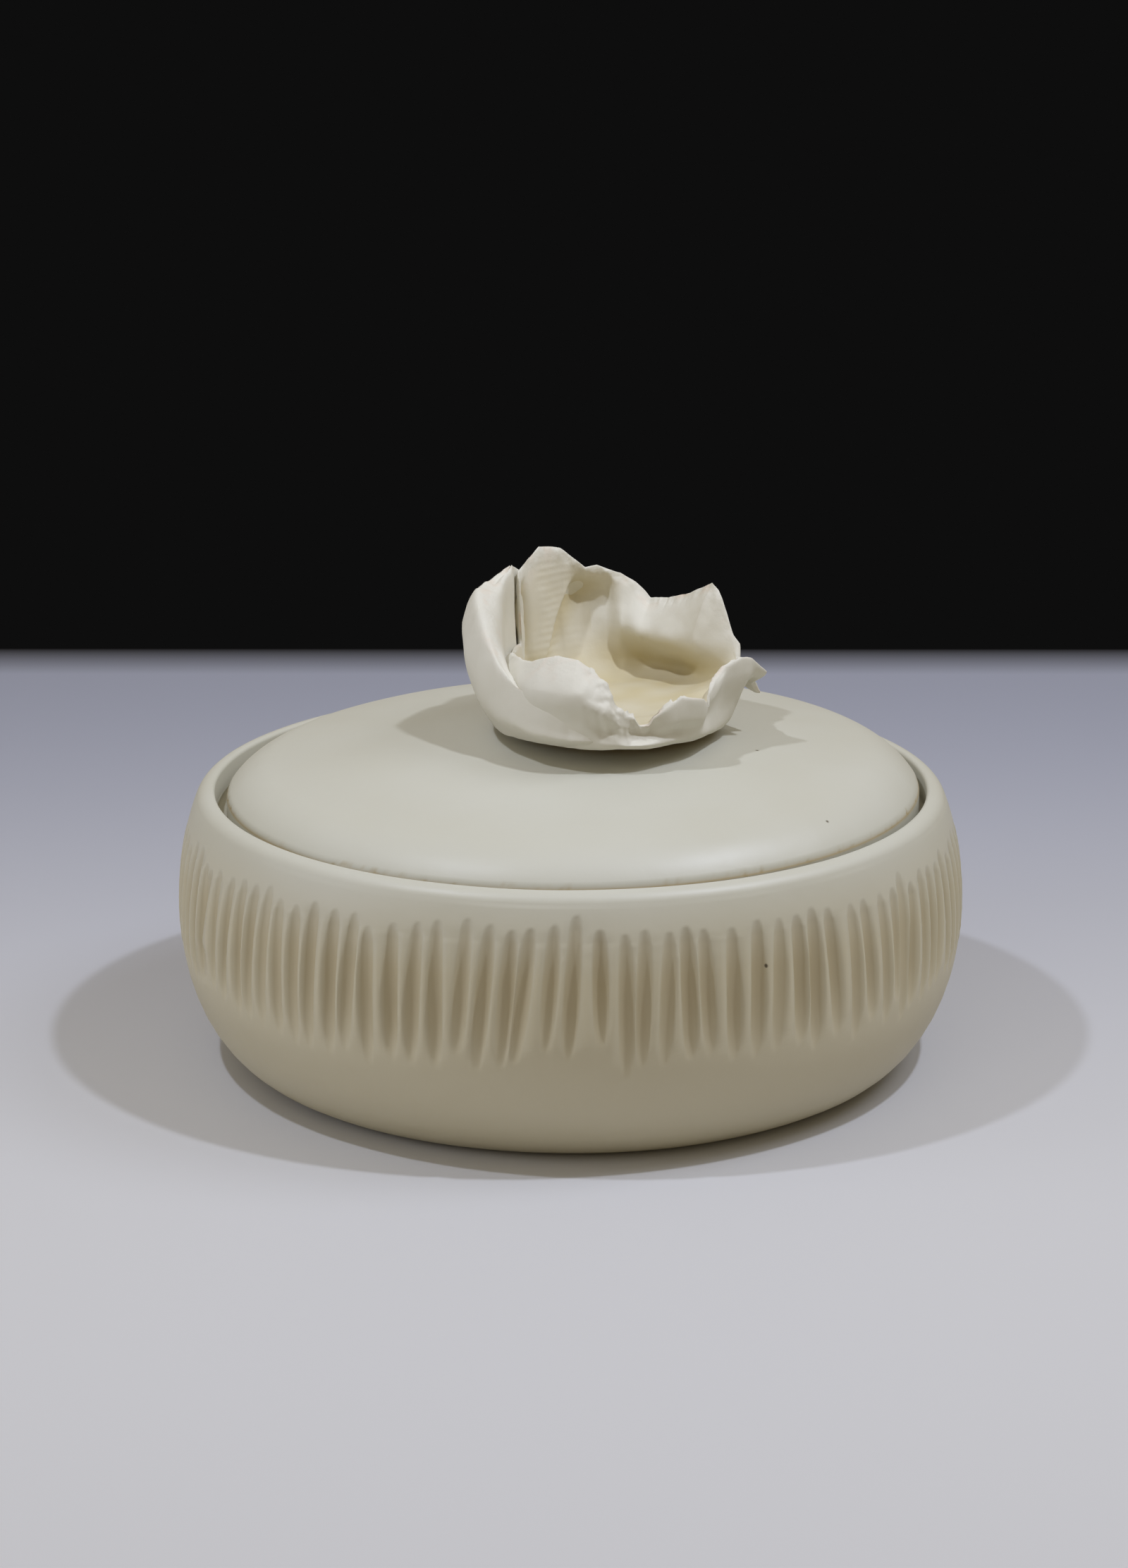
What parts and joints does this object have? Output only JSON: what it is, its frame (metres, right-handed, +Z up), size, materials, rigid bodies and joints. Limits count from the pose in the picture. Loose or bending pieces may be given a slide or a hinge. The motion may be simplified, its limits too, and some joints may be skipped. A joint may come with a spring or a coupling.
{
  "type": "lidded ceramic box",
  "caption": "Round unglazed ceramic box with a belt of carved flutes, a domed drop-in lid and a knob of torn clay.",
  "frame": {"origin": "middle of the base, on the surface that the box stands on", "axes": "+Z up along the axis that the bowl and the lid were turned on; -Y towards the viewer, so that the knob's low notch faces forwards; +X to the viewer's right, the side to which the knob sits off the axis"},
  "size_m": [0.14, 0.14, 0.0875],
  "materials": {
    "bowl_clay": "satin matte cream stoneware, carved",
    "lid_clay": "satin matte cream stoneware, smooth",
    "knob_clay": "bare matte cream clay, torn"
  },
  "bodies": {
    "bowl": {"bowl": "bowl_clay"},
    "lid": {"lid": "lid_clay", "knob_foot": "knob_clay", "knob_cup": "knob_clay", "knob_wrap": "knob_clay"}
  },
  "joints": [
    {"name": "lid_lift", "type": "slide", "parent": "bowl", "child": "lid", "axis": [0, 0, 1], "range_m": [0, 0.08]}
  ]
}
